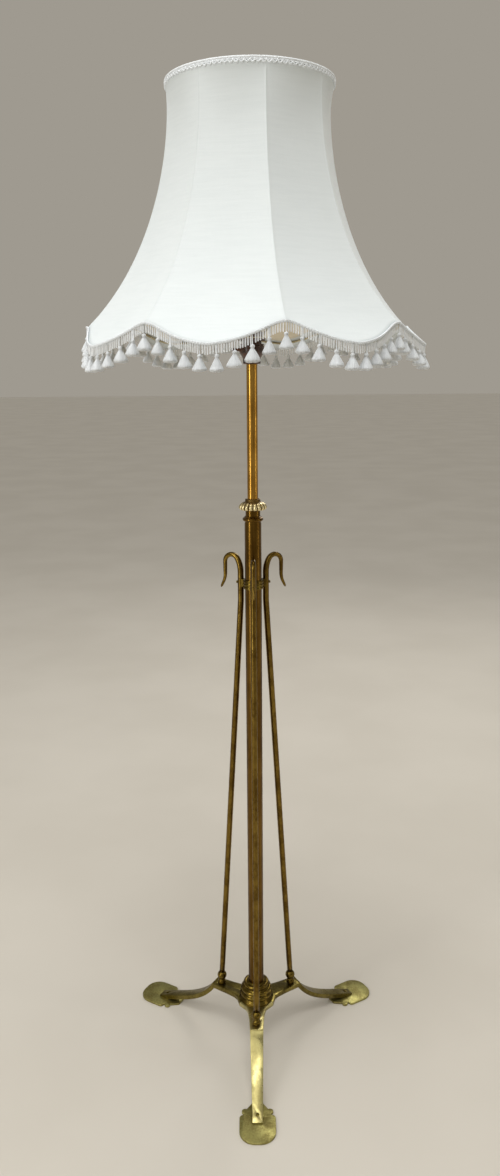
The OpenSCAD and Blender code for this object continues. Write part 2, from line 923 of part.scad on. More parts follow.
// Closed round wire through a list of points that runs round the axis
module wire_loop(points, r) {
    sides = 8;
    n = len(points);
    rings = [for (i = [0 : n - 1])
        let (
            along = points[(i + 1) % n] - points[(i + n - 1) % n],
            side = cross(along, [0, 0, 1]) / norm(cross(along, [0, 0, 1])),
            up = cross(side, along) / norm(along)
        )
        [for (k = [0 : sides - 1]) points[i] + r * (cos(360 * k / sides) * side + sin(360 * k / sides) * up)]];
    polyhedron(
        points = [for (ring = rings) for (p = ring) p],
        faces = [for (i = [0 : n - 1]) for (k = [0 : sides - 1])
            let (a = i * sides, b = ((i + 1) % n) * sides, m = (k + 1) % sides)
            [a + k, a + m, b + m, b + k]]);
}

module top_wire() {
    top_wire_r = 1.3;
    color(ivory)
    translate([0, 0, ring_h_top - 3])
    rotate_extrude()
    translate([neck_r - cover_t - top_wire_r - 1.25, 0])
    circle(r = top_wire_r);
}

module hem_wire() {
    steep = norm([hem_r - hem_pull[0], seam_low - hem_pull[1]]) / (hem_pull[1] - seam_low);
    depth = cover_t + wire_r * steep + body_gap;
    color(ivory)
    wire_loop([for (i = [0 : cols - 1]) face_point(i, 0.985, depth)], wire_r);
}

// Eight flat-sided wires that follow the seams between the top wire and the hem wire
module shade_struts() {
    steps = 28;
    first = 0.05;
    last = 0.955;
    wire_t = 2.4;
    depth = cover_t + wire_t / 2 * tan(180 / panels) + body_gap + 0.1;
    line = [for (j = [0 : steps]) seam(first + (last - first) * j / steps)];
    outline = concat([for (p = line) [p[0] - depth, p[1]]],
        [for (j = [steps : -1 : 0]) [line[j][0] - depth - wire_t, line[j][1]]]);
    color(ivory)
    for (k = [0 : panels - 1])
        rotate(turn_of(k * panel_cols) - 90)
        rotate([90, 0, 0])
        linear_extrude(wire_t, center = true)
        polygon(outline);
}

// Ring that rests on the carrier, with arms up to every second strut
module shade_fitter() {
    arm_t = 0.45;
    strut_point = seam(arm_t);
    arm_end = [strut_point[0] - lining_in - 2.5, strut_point[1]];
    ring = [carrier_r, fitter_h];
    lean = atan((arm_end[0] - ring[0]) / (arm_end[1] - ring[1]));
    color(ivory)
    union() {
        translate([0, 0, ring[1]])
            rotate_extrude()
            translate([ring[0], 0])
            circle(r = wire_r);
        for (k = [0 : 2 : panels - 1])
            rotate(turn_of(k * panel_cols) - 90)
            translate([ring[0], 0, ring[1]])
            rotate([0, lean, 0])
            cylinder(r = 1.4, h = norm(arm_end - ring));
    }
}

module shade_cover() {
    color(fabric)
    shell(0, cover_t, 1);
}

module shade_lining() {
    color(fabric)
    shell(lining_in, lining_in + 0.6, 0.955);
}

module top_braid() {
    low = ring_h_top - 4.6;
    color(ivory)
    rotate_extrude()
    union() {
        translate([neck_r + 0.2, low])
            square([1.5, shade_top - low - 1.5]);
        translate([neck_r - 2.4, ring_h_top + 0.4])
            square([3, 2.4]);
        translate([neck_r + 0.2, shade_top - 1.5])
            circle(r = 1.5);
    }
}

module hem_braid() {
    color(ivory)
    hem_band(-braid_h, 0.3, 0.15, 1.6);
}

module fringe_skirt() {
    color(ivory)
    hem_band(0.4, fringe_l, 0.2, 1.2);
}

module tassel() {
    rotate_extrude($fn = 24)
        polygon([[0, 0], [0.9, 0], [0.9, 2.2], [2.3, 3], [2.5, 4.6], [1.7, 5.4], [3.2, 8],
            [5.6, 12], [7.6, 16], [8, 18], [7.2, 20], [4.6, 21.3], [0, 21.6]]);
}

module tassels() {
    color(ivory)
    for (k = [0 : panels - 1])
        for (m = [0 : panel_tassels - 1]) {
            column = panel_cols * (k + m / panel_tassels);
            hem = face_point(column, 1, -0.7);
            translate([hem[0], hem[1], hem[2] - fringe_l])
                rotate([180, 0, 0])
                tassel();
        }
}

leg(0);  // leg_front
leg(side_turn);  // leg_right
leg(-side_turn);  // leg_left
foot(0);  // foot_front
foot(side_turn);  // foot_right
foot(-side_turn);  // foot_left
foot_rivets();
hub();
base_washer();
base_nut();
leg_screws();
cord_bush();
column_tube();
column_cap();
rod(0);  // rod_front
rod(side_turn);  // rod_right
rod(-side_turn);  // rod_left
rod_terminal(0);  // rod_terminal_front
rod_terminal(side_turn);  // rod_terminal_right
rod_terminal(-side_turn);  // rod_terminal_left
terminal_screws();
rod_collar();
collar_screws();
collet();
clamp_nut();
guide_bush();
inner_tube();
tube_collar(tube_foot, bush_low - run_gap);  // tube_ferrule
tube_collar(bush_high + run_gap, bush_high + 6);  // stop_collar
nipple();
holder_cap();
terminal_block();
contact_pins();
holder_barrel();
switch_bar();
barrel_ring(support_h, carrier_h, holder_r + 1.6);  // support_ring
barrel_ring(ring_h, ring_h + 7, holder_r - 1.2);  // shade_ring
carrier_ring();
carrier_arms();
bulb_cap();
bulb_pins();
bulb_glass();
bulb_filament();
top_wire();
hem_wire();
shade_struts();
shade_fitter();
shade_cover();
shade_lining();
top_braid();
hem_braid();
fringe_skirt();
tassels();
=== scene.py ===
import math
import random

import bmesh
import bpy
from mathutils import Matrix, Vector


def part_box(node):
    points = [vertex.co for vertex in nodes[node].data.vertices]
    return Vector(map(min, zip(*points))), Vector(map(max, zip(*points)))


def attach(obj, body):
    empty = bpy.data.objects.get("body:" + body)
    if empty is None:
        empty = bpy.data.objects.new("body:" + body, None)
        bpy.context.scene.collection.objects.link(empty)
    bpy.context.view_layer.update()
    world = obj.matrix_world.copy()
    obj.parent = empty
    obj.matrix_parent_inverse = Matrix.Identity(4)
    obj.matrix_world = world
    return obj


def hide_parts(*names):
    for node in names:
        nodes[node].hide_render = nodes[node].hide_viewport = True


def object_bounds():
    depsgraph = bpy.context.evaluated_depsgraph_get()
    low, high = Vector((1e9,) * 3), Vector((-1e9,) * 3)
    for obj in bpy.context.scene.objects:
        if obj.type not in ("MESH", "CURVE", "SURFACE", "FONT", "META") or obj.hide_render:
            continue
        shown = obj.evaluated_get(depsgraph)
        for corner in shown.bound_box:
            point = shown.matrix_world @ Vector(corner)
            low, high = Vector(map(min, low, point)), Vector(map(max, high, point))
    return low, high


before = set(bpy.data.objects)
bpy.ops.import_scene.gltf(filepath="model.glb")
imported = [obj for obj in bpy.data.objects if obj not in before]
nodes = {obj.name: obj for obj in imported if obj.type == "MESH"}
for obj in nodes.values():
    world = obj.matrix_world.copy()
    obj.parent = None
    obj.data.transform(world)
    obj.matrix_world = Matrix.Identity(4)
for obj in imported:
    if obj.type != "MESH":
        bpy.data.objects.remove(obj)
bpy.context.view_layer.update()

scene = bpy.context.scene
draw = random.Random(41)  # every random choice comes from here, in the same order each run

# camera, at the eye height of someone standing in front of the lamp
cameraSet = {"place": (-0.0052, -1.3598, 1.1378), "down": 13.98, "roll": -0.46, "lens": 27.99, "sensor": 36}

cameraData = bpy.data.cameras.new("Camera")
cameraData.lens = cameraSet["lens"]
cameraData.sensor_width = cameraSet["sensor"]
cameraObject = bpy.data.objects.new("Camera", cameraData)
scene.collection.objects.link(cameraObject)
cameraObject.matrix_world = (
    Matrix.Translation(cameraSet["place"])
    @ Matrix.Rotation(math.radians(90 - cameraSet["down"]), 4, "X")
    @ Matrix.Rotation(math.radians(cameraSet["roll"]), 4, "Z")
)
scene.camera = cameraObject
scene.view_settings.view_transform = "Standard"
print("camera set")


# shader maths: a socket that can be added, taken away and multiplied
class Wire:
    def __init__(self, tree, socket):
        self.tree = tree
        self.socket = socket

    def node(self, kind, settings, values, out=0):
        made = self.tree.nodes.new(kind)
        for key, value in settings.items():
            setattr(made, key, value)
        for key, value in values.items():
            if isinstance(value, Wire):
                self.tree.links.new(value.socket, made.inputs[key])
            else:
                made.inputs[key].default_value = value
        return Wire(self.tree, made.outputs[out])

    def sum(self, operation, a, b=0.0):
        return self.node("ShaderNodeMath", {"operation": operation}, {0: a, 1: b})

    def __add__(self, other):
        return self.sum("ADD", self, other)

    def __radd__(self, other):
        return self.sum("ADD", other, self)

    def __sub__(self, other):
        return self.sum("SUBTRACT", self, other)

    def __rsub__(self, other):
        return self.sum("SUBTRACT", other, self)

    def __mul__(self, other):
        return self.sum("MULTIPLY", self, other)

    def __rmul__(self, other):
        return self.sum("MULTIPLY", other, self)

    def __abs__(self):
        return self.sum("ABSOLUTE", self)

    def sin(self):
        return self.sum("SINE", self)

    def wrap(self):
        return self.sum("FRACT", self)

    def clip(self, low, high, start=0.0, end=1.0):
        return self.node(
            "ShaderNodeMapRange",
            {"interpolation_type": "SMOOTHSTEP"},
            {"Value": self, "From Min": low, "From Max": high, "To Min": start, "To Max": end},
        )

    def stretch(self, across, along, up):
        return self.node(
            "ShaderNodeVectorMath", {"operation": "MULTIPLY"}, {0: self, 1: (across, along, up)}
        )

    def noise(self, scale, detail=3.0, rough=0.5):
        return self.node(
            "ShaderNodeTexNoise", {}, {"Vector": self, "Scale": scale, "Detail": detail, "Roughness": rough}
        )

    def cells(self, scale):
        return self.node("ShaderNodeTexVoronoi", {}, {"Vector": self, "Scale": scale})

    def tint(self, first, second):
        return self.node(
            "ShaderNodeMix", {"data_type": "RGBA"}, {"Factor": self, "A": first, "B": second}, "Result"
        )

    def axes(self):
        return [self.node("ShaderNodeSeparateXYZ", {}, {0: self}, name) for name in ("X", "Y", "Z")]

    def bump(self, depth, strength=1.0):
        return self.node(
            "ShaderNodeBump", {}, {"Height": self, "Distance": depth, "Strength": strength}
        )


def rgba(colour):
    return (*colour, 1.0)


# a new material: its name, fixed settings for the shader, and a function from place to what varies
def newMaterial(name, fixed, varied):
    material = bpy.data.materials.new(name)
    material.use_nodes = True
    tree = material.node_tree
    shader = tree.nodes["Principled BSDF"]
    for key, value in fixed.items():
        shader.inputs[key].default_value = value
    place = Wire(tree, tree.nodes.new("ShaderNodeTexCoord").outputs["Object"])
    for key, value in varied(place).items():
        tree.links.new(value.socket, shader.inputs[key])
    return material


# brass that was lacquered once: bright where hands and polish reach, brown where they don't
def agedBrass(name, look):
    def varied(place):
        blotch = place.noise(look["blotch"], 4.0, 0.6)
        streak = place.stretch(1.0, 1.0, look["streak"]).noise(look["fine"], 3.0, 0.6)
        grain = place.noise(look["fine"] * 2.3, 2.0)
        worn = (blotch * 0.62 + streak * 0.38).clip(look["low"], look["high"])
        spot = place.cells(look["specks"]).clip(0.05, 0.17)
        stained = place.noise(look["blotch"] * 3.1, 2.0).clip(0.52, 0.7)
        mark = (1 - spot) * stained
        colour = worn.tint(rgba(look["dark"]), rgba(look["bright"]))
        return {
            "Base Color": (mark * look["spotting"]).tint(colour, rgba(look["spot"])),
            "Roughness": look["rough"] + (1 - worn) * 0.16 + mark * 0.2 + (grain - 0.5) * 0.1,
            "Normal": (streak * 0.6 + grain * 0.4 + (1 - mark) * 0.5).bump(look["dent"]),
        }

    return newMaterial(name, {"Metallic": 1.0}, varied)


brassLook = {
    "bright": (0.195, 0.108, 0.019),
    "dark": (0.088, 0.043, 0.0065),
    "spot": (0.04, 0.022, 0.006),
    "blotch": 12.0,
    "streak": 0.05,
    "fine": 500.0,
    "low": 0.36,
    "high": 0.66,
    "specks": 300.0,
    "spotting": 0.6,
    "rough": 0.15,
    "dent": 0.00004,
}
columnBrass = agedBrass("ColumnBrass", brassLook)
rodBrass = agedBrass(
    "RodBrass",
    brassLook
    | {
        "bright": (0.235, 0.152, 0.03),
        "dark": (0.102, 0.058, 0.01),
        "streak": 0.3,
        "blotch": 34.0,
        "dent": 0.00008,
    },
)
hubBrass = agedBrass(
    "HubBrass",
    brassLook
    | {
        "bright": (0.225, 0.158, 0.03),
        "dark": (0.075, 0.046, 0.008),
        "streak": 1.0,
        "blotch": 60.0,
    },
)
tubeBrass = agedBrass(
    "TubeBrass",
    brassLook
    | {
        "bright": (0.67, 0.38, 0.075),
        "dark": (0.31, 0.15, 0.02),
        "rough": 0.13,
        "spotting": 0.4,
    },
)
# a lit copy of the leg brass for the front leg: its paler colour is painted light
litFrontLegBrass = agedBrass(
    "LitFrontLegBrass",
    brassLook
    | {
        "bright": (0.56, 0.50, 0.215),
        "dark": (0.37, 0.31, 0.12),
        "spot": (0.12, 0.09, 0.035),
        "streak": 1.0,
        "fine": 260.0,
        "blotch": 26.0,
        "low": 0.28,
        "high": 0.66,
        "specks": 230.0,
        "rough": 0.26,
        "dent": 0.00012,
    },
)
# a shaded copy of the leg brass for the two side legs: its darker colour is painted shade
shadedSideLegBrass = agedBrass(
    "ShadedSideLegBrass",
    brassLook
    | {
        "bright": (0.265, 0.215, 0.06),
        "dark": (0.105, 0.078, 0.018),
        "streak": 1.0,
        "fine": 260.0,
        "blotch": 30.0,
        "specks": 230.0,
        "rough": 0.26,
        "dent": 0.0001,
    },
)
padBrass = agedBrass(
    "PadBrass",
    brassLook
    | {
        "bright": (0.46, 0.43, 0.16),
        "dark": (0.25, 0.21, 0.07),
        "spot": (0.10, 0.08, 0.03),
        "streak": 1.0,
        "fine": 300.0,
        "blotch": 48.0,
        "specks": 170.0,
        "spotting": 0.9,
        "rough": 0.34,
        "dent": 0.00014,
    },
)
screwSteel = agedBrass(
    "ScrewSteel",
    brassLook
    | {
        "bright": (0.50, 0.49, 0.47),
        "dark": (0.26, 0.24, 0.21),
        "spot": (0.12, 0.08, 0.05),
        "streak": 1.0,
        "rough": 0.34,
    },
)
wireSteel = agedBrass(
    "WireSteel",
    brassLook
    | {
        "bright": (0.62, 0.56, 0.40),
        "dark": (0.38, 0.32, 0.19),
        "streak": 1.0,
        "rough": 0.32,
        "blotch": 40.0,
    },
)


# clamp nut: a ring of rounded lobes over a plain neck
nutShape = {
    "lobes": 18,
    "steps": 12,
    "round": 0.55,  # how broad a lobe is beside its groove
    "neckFrom": 0.010,
    "neckTo": 0.012,
    "rows": (  # height share, radius, depth of the grooves
        (0.0, 0.0150, 0.0),
        (0.0, 0.0172, 0.0),
        (0.03, 0.0190, 0.0016),
        (0.10, 0.0204, 0.0028),
        (0.20, 0.0211, 0.0034),
        (0.32, 0.0209, 0.0034),
        (0.44, 0.0199, 0.0030),
        (0.55, 0.0182, 0.0024),
        (0.63, 0.0163, 0.0013),
        (0.68, 0.0144, 0.0),
        (0.71, 0.0126, 0.0),
        (0.75, 0.0116, 0.0),
        (0.96, 0.0114, 0.0),
        (1.0, 0.0107, 0.0),
        (1.0, 0.00825, 0.0),
        (0.787, 0.00825, 0.0),
        (0.665, 0.0093, 0.0),
        (0.665, 0.01065, 0.0),
        (0.0, 0.01065, 0.0),
    ),
}


# the clamp nut's lobes are painted pale and the grooves between them painted dark as painted shade; the
# neck above is kept dark too
def paintedLobeShadeLook(place):
    x, y, z = place.axes()
    lobe = abs((place.sum("ARCTAN2", x, y * -1.0) * (nutShape["lobes"] / 2)).sin())
    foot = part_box("clamp_nut")[0].z
    neck = z.clip(foot + nutShape["neckFrom"], foot + nutShape["neckTo"])
    # painted light and shade: 1 on the lobes, 0 in the shaded grooves and on the neck
    lobePaleGrooveShade = lobe.clip(0.25, 0.75) * (1 - neck)
    grain = place.noise(300.0, 3.0)
    patch = place.noise(70.0, 2.0)
    # this mix carries the painted groove shade into the nut's colour
    worn = (lobePaleGrooveShade * 0.8 + patch * 0.25).clip(0.15, 0.85)
    return {
        "Base Color": worn.tint(rgba((0.16, 0.10, 0.03)), rgba((0.86, 0.74, 0.42))),
        "Roughness": 0.34 - worn * 0.1 + grain * 0.1,
        "Normal": grain.bump(0.00005),
    }


def bakeliteLook(place):
    swirl = place.stretch(1.0, 1.0, 0.35).noise(140.0, 5.0, 0.6)
    fine = place.noise(900.0, 2.0)
    return {
        "Base Color": swirl.clip(0.38, 0.62).tint(
            rgba((0.030, 0.010, 0.005)), rgba((0.085, 0.026, 0.011))
        ),
        "Roughness": 0.2 + fine * 0.14,
        "Normal": fine.bump(0.00004),
    }


nutBrass = newMaterial("NutBrass", {"Metallic": 1.0}, paintedLobeShadeLook)
brownBakelite = newMaterial("BrownBakelite", {"Coat Weight": 0.3, "Coat Roughness": 0.15}, bakeliteLook)


def glazeLook(place):
    fleck = place.noise(260.0, 3.0)
    return {
        "Base Color": fleck.clip(0.45, 0.75).tint(
            rgba((0.80, 0.78, 0.71)), rgba((0.66, 0.62, 0.53))
        ),
        "Roughness": 0.3 + fleck * 0.2,
        "Normal": fleck.bump(0.00005),
    }


ceramic = newMaterial("Ceramic", {}, glazeLook)


def pearlLook(place):
    etch = place.noise(700.0, 3.0)
    return {
        "Base Color": etch.clip(0.35, 0.65).tint(
            rgba((0.90, 0.90, 0.87)), rgba((0.83, 0.83, 0.80))
        ),
        "Roughness": 0.32 + etch * 0.16,
        "Normal": etch.bump(0.00004),
    }


pearlGlass = newMaterial("PearlGlass", {"Transmission Weight": 0.55, "IOR": 1.48}, pearlLook)

# woven cloth, in turns round the axis and heights up it: warp, weft and a few thicker threads
clothSet = {"pitch": 0.0011, "radius": 0.17, "panels": 8, "seamTurn": 10.0}


def cloth(name, look):
    def varied(place):
        x, y, z = place.axes()
        around = place.sum("ARCTAN2", y, x)
        warp = (around * (2 * math.pi * clothSet["radius"] / clothSet["pitch"])).sin()
        weft = (z * (2 * math.pi / clothSet["pitch"])).sin()
        slub = place.stretch(0.25, 0.25, 3.0).noise(90.0, 3.0, 0.6)
        pull = place.stretch(1.0, 1.0, 0.12).noise(26.0, 3.0, 0.55)
        shade = place.noise(7.0, 3.0, 0.5)
        turns = around * (clothSet["panels"] / (2 * math.pi)) + (90 - clothSet["seamTurn"]) / 45.0
        fromSeam = abs(turns.wrap() - 0.5)  # 0.5 on a seam, 0 in the middle of a panel
        seam = fromSeam.clip(0.484, 0.496)
        tone = (shade * 0.6 + slub * 0.4).clip(0.35, 0.65)
        colour = tone.tint(rgba(look["light"]), rgba(look["deep"]))
        weave = (warp * weft) * 0.5 + 0.5
        return {
            "Base Color": (seam * 0.35).tint(colour, rgba(look["seam"])),
            "Roughness": 0.72 + slub * 0.2,
            "Normal": (weave * 0.12 + slub * 0.4 + pull * 1.6 + seam * 0.25).bump(look["relief"]),
        }

    fixed = {"Sheen Weight": look["sheen"], "Sheen Roughness": 0.45, "Specular IOR Level": 0.25}
    return newMaterial(name, fixed, varied)


shadeCloth = cloth(
    "ShadeCloth",
    {
        "light": (0.745, 0.79, 0.80),
        "deep": (0.71, 0.757, 0.768),
        "seam": (0.66, 0.705, 0.71),
        "relief": 0.0004,
        "sheen": 0.15,
    },
)
liningCloth = cloth(
    "LiningCloth",
    {
        "light": (0.80, 0.735, 0.60),
        "deep": (0.73, 0.66, 0.52),
        "seam": (0.66, 0.59, 0.45),
        "relief": 0.0005,
        "sheen": 0.1,
    },
)


# spun cord and thread; threads run up the height, so the stripes go round
def thread(name, look):
    def varied(place):
        x, y, z = place.axes()
        around = place.sum("ARCTAN2", y, x)
        twist = (around * look["round"] + z * look["rise"]).sin() * 0.5 + 0.5
        fluff = place.noise(1400.0, 2.0, 0.7)
        patch = place.noise(38.0, 2.0)
        tone = (twist * 0.35 + fluff * 0.3 + patch * 0.35).clip(0.3, 0.7)
        return {
            "Base Color": tone.tint(rgba(look["deep"]), rgba(look["light"])),
            "Roughness": 0.66 + fluff * 0.25,
            "Normal": (twist * 0.6 + fluff * 0.5).bump(look["relief"]),
        }

    fixed = {"Sheen Weight": 0.25, "Sheen Roughness": 0.4, "Specular IOR Level": 0.3}
    return newMaterial(name, fixed, varied)


trimLook = {
    "light": (0.88, 0.915, 0.945),
    "deep": (0.77, 0.805, 0.83),
    "round": 260.0,
    "rise": 5200.0,
    "relief": 0.00022,
}
braidThread = thread("BraidThread", trimLook)
fringeLook = {"light": (0.95, 0.975, 0.995), "deep": (0.86, 0.89, 0.915)}
fringeThread = thread("FringeThread", trimLook | fringeLook)
tasselThread = thread("TasselThread", trimLook | {"round": 3400.0, "rise": 160.0, "relief": 0.0003})
print("materials made")


# which finish each piece of the frame keeps
finishes = {
    columnBrass: "column_tube column_cap base_washer base_nut collet nipple guide_bush",
    hubBrass: "hub rod_terminal_front rod_terminal_right rod_terminal_left rod_collar collar_screws",
    padBrass: "foot_rivets",
    tubeBrass: "inner_tube bulb_cap bulb_pins contact_pins",
    screwSteel: "leg_screws terminal_screws tube_ferrule stop_collar",
    brownBakelite: "cord_bush holder_cap holder_barrel switch_bar support_ring shade_ring",
    ceramic: "terminal_block",
    pearlGlass: "bulb_glass",
    wireSteel: "bulb_filament carrier_ring carrier_arms top_wire hem_wire shade_struts shade_fitter",
}
for material, names in finishes.items():
    for name in names.split():
        slots = nodes[name].material_slots
        if not slots:
            raise RuntimeError(f"{name} has no material slot")
        for slot in slots:
            slot.material = material
print("finishes given")


# a mesh object from points and faces
def newPiece(name, points, faces, material):
    mesh = bpy.data.meshes.new(name)
    mesh.from_pydata([tuple(p) for p in points], [], faces)
    mesh.validate()
    made = bpy.data.objects.new(name, mesh)
    scene.collection.objects.link(made)
    mesh.materials.append(material)
    mesh.polygons.foreach_set("use_smooth", [True] * len(mesh.polygons))
    return made


# the same for a piece that rides on a body and stands for nodes
def finishPiece(made, body, slot, *stoodFor):
    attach(made, body)
    if stoodFor:
        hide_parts(*stoodFor)
    return made


# faces between rings of points, each ring with the same count
def ringFaces(rings, count, start=0, closed=False):
    faces = []
    for i in range(rings - (0 if closed else 1)):
        a = start + i * count
        b = start + (i + 1) % rings * count
        for j in range(count):
            k = (j + 1) % count
            faces.append((a + j, a + k, b + k, b + j))
    return faces


# a round bar along a line of points, with its own radius at each point
def sweep(line, radii, sides, points, faces, closed=False):
    start = len(points)
    count = len(line)
    up = None
    for i, spot in enumerate(line):
        ahead = line[(i + 1) % count] if closed else line[min(i + 1, count - 1)]
        behind = line[i - 1] if closed else line[max(i - 1, 0)]
        along = (ahead - behind).normalized()
        if up is None:
            up = along.cross(Vector((0.31, 0.2, 0.93)))
            if up.length < 0.1:
                up = along.cross(Vector((1, 0, 0)))
        up = (up - along * up.dot(along)).normalized()
        side = along.cross(up)
        for j in range(sides):
            turn = 2 * math.pi * j / sides
            points.append(spot + (up * math.cos(turn) + side * math.sin(turn)) * radii[i])
    faces.extend(ringFaces(count, sides, start, closed))
    if not closed:
        faces.append(tuple(range(start + sides - 1, start - 1, -1)))
        faces.append(tuple(range(start + (count - 1) * sides, start + count * sides)))


# the point at a radius and height, turned from the front towards the right
def atTurn(radius, turn, height):
    return Vector((radius * math.sin(turn), -radius * math.cos(turn), height))


legTurns = {"front": 0.0, "right": 120.0, "left": -120.0}


# legs and feet: the frame's own shapes with their edges eased
def eased(name, node, width, material):
    source = nodes[node].data
    work = bmesh.new()
    work.from_mesh(source)
    bmesh.ops.remove_doubles(work, verts=work.verts, dist=0.00001)
    bmesh.ops.dissolve_limit(work, angle_limit=math.radians(0.6), verts=work.verts, edges=work.edges)
    mesh = bpy.data.meshes.new(name)
    work.to_mesh(mesh)
    work.free()
    mesh.materials.clear()
    mesh.materials.append(material)
    mesh.polygons.foreach_set("material_index", [0] * len(mesh.polygons))
    mesh.polygons.foreach_set("use_smooth", [True] * len(mesh.polygons))
    made = bpy.data.objects.new(name, mesh)
    scene.collection.objects.link(made)
    bevel = made.modifiers.new("Edges", "BEVEL")
    bevel.width = width
    bevel.segments = 2
    bevel.limit_method = "ANGLE"
    bevel.angle_limit = math.radians(38)
    bevel.harden_normals = True
    return made


# a narrow lip runs across each knee, where the flat top of the leg turns down
kneeLip = {"radius": 0.0012, "at": 0.083, "half": 0.0104}
for side, turn in legTurns.items():
    # the front leg and its lip take the lit copy and the side legs the shaded one: painted light and shade
    brass = litFrontLegBrass if side == "front" else shadedSideLegBrass
    leg = eased(f"Leg{side.title()}", f"leg_{side}", 0.0006, brass)
    finishPiece(leg, "stand", "leg_brass", f"leg_{side}")
    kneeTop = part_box(f"leg_{side}")[1].z
    middle = atTurn(kneeLip["at"], math.radians(turn), kneeTop - kneeLip["radius"] * 0.45)
    across = Vector((math.cos(math.radians(turn)), math.sin(math.radians(turn)), 0))
    line = []
    radii = []
    for share in (-1.0, -0.96, -0.5, 0.0, 0.5, 0.96, 1.0):
        line.append(middle + across * kneeLip["half"] * share)
        radii.append(kneeLip["radius"] * (0.6 if abs(share) == 1.0 else 1.0))
    points = []
    faces = []
    sweep(line, radii, 12, points, faces)
    lip = newPiece(f"KneeLip{side.title()}", points, faces, brass)
    finishPiece(lip, "stand", "leg_brass")
    foot = eased(f"Foot{side.title()}", f"foot_{side}", 0.0005, padBrass)
    finishPiece(foot, "stand", "leg_brass", f"foot_{side}")
print("legs and feet made")


# brace rods: one bar each, from its ball up through the collar and over into the hook
rodShape = {
    "footR": 0.0688,
    "topR": 0.02235,
    "radius": 0.00475,
    "hookRadius": 0.0039,
    "tipRadius": 0.0017,
    "bendBelow": 0.0742,  # how far the bend lies below the top of the hook
    "bigR": 0.040,
    "topArcR": 0.012,
    "width": 0.0276,
    "sides": 20,
    "startBelow": 0.0297,
    "drop": 0.019,
    "tailR": 0.0295,
    "tailTurn": 27.0,
    "tip": 0.0105,
    "meetAbove": 0.006,  # the bar crosses its foot radius this far above its lower end
    "taperFrom": 34,  # points along the bar
    "taperTo": 46,
    "tipTaper": 1.6,
    "ends": (0.9, 0.45),  # the last two radii, to round the tip
}
rodSteps = {"brace": 24, "rise": 8, "turnOut": 8, "over": 20, "down": 5, "tail": 6, "tip": 6}


def rodLine(low, high):
    s = rodShape
    topZ = high.z
    start = topZ - s["startBelow"]
    bend = topZ - s["bendBelow"]
    turn = math.acos((s["bigR"] + s["topArcR"] - s["width"]) / (s["bigR"] - s["topArcR"]))
    arcZ = start + (s["bigR"] - s["topArcR"]) * math.sin(turn)
    lean = (s["footR"] - s["topR"]) / (bend - low.z - s["meetAbove"])
    line = []
    for i in range(rodSteps["brace"] + 1):
        z = low.z + i / rodSteps["brace"] * (bend - low.z)
        line.append((s["topR"] + lean * (bend - z), z))
    for i in range(1, rodSteps["rise"] + 1):
        line.append((s["topR"], bend + i / rodSteps["rise"] * (start - bend)))
    for i in range(1, rodSteps["turnOut"] + 1):
        a = turn * i / rodSteps["turnOut"]
        line.append((s["topR"] + s["bigR"] * (1 - math.cos(a)), start + s["bigR"] * math.sin(a)))
    for i in range(1, rodSteps["over"] + 1):
        a = (math.pi - turn) * (1 - i / rodSteps["over"])
        x = s["topR"] + s["width"] - s["topArcR"] + s["topArcR"] * math.cos(a)
        line.append((x, arcZ + s["topArcR"] * math.sin(a)))
    for i in range(1, rodSteps["down"] + 1):
        line.append((s["topR"] + s["width"], arcZ - s["drop"] * i / rodSteps["down"]))
    tail = math.radians(s["tailTurn"])
    for i in range(1, rodSteps["tail"] + 1):
        a = tail * i / rodSteps["tail"]
        x = s["topR"] + s["width"] + s["tailR"] * (1 - math.cos(a))
        line.append((x, arcZ - s["drop"] - s["tailR"] * math.sin(a)))
    lastX, lastZ = line[-1]
    for i in range(1, rodSteps["tip"] + 1):
        step = s["tip"] * i / rodSteps["tip"]
        line.append((lastX + step * math.sin(tail), lastZ - step * math.cos(tail)))
    return line


taperFrom = rodShape["taperFrom"]
taperTo = rodShape["taperTo"]
for side, turn in legTurns.items():
    low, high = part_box(f"rod_{side}")
    line = [atTurn(r, math.radians(turn), z) for r, z in rodLine(low, high)]
    total = len(line)
    radii = []
    for i in range(total):
        if i < taperFrom:
            radius = rodShape["radius"]
        elif i < taperTo:
            share = (i - taperFrom) / (taperTo - taperFrom)
            radius = rodShape["radius"] + (rodShape["hookRadius"] - rodShape["radius"]) * share
        else:
            share = ((i - taperTo) / (total - 1 - taperTo)) ** rodShape["tipTaper"]
            radius = rodShape["hookRadius"] + (rodShape["tipRadius"] - rodShape["hookRadius"]) * share
        radii.append(radius)
    radii[-2] *= rodShape["ends"][0]
    radii[-1] *= rodShape["ends"][1]
    points = []
    faces = []
    sweep(line, radii, rodShape["sides"], points, faces)
    rod = newPiece(f"Rod{side.title()}", points, faces, rodBrass)
    finishPiece(rod, "stand", "aged_brass", f"rod_{side}")
print("rods made")


nutLow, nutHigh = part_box("clamp_nut")
points = []
nutSides = nutShape["lobes"] * nutShape["steps"]
for share, radius, groove in nutShape["rows"]:
    height = nutLow.z + share * (nutHigh.z - nutLow.z)
    for j in range(nutSides):
        phase = j / nutShape["steps"] * math.pi
        lobe = abs(math.sin(phase)) ** nutShape["round"]
        points.append(atTurn(radius - groove * (1 - lobe), 2 * math.pi * j / nutSides, height))
nutFaces = ringFaces(len(nutShape["rows"]), nutSides, closed=True)
nut = newPiece("ClampNut", points, nutFaces, nutBrass)
finishPiece(nut, "clamp", "leg_brass", "clamp_nut")
print("clamp nut made")


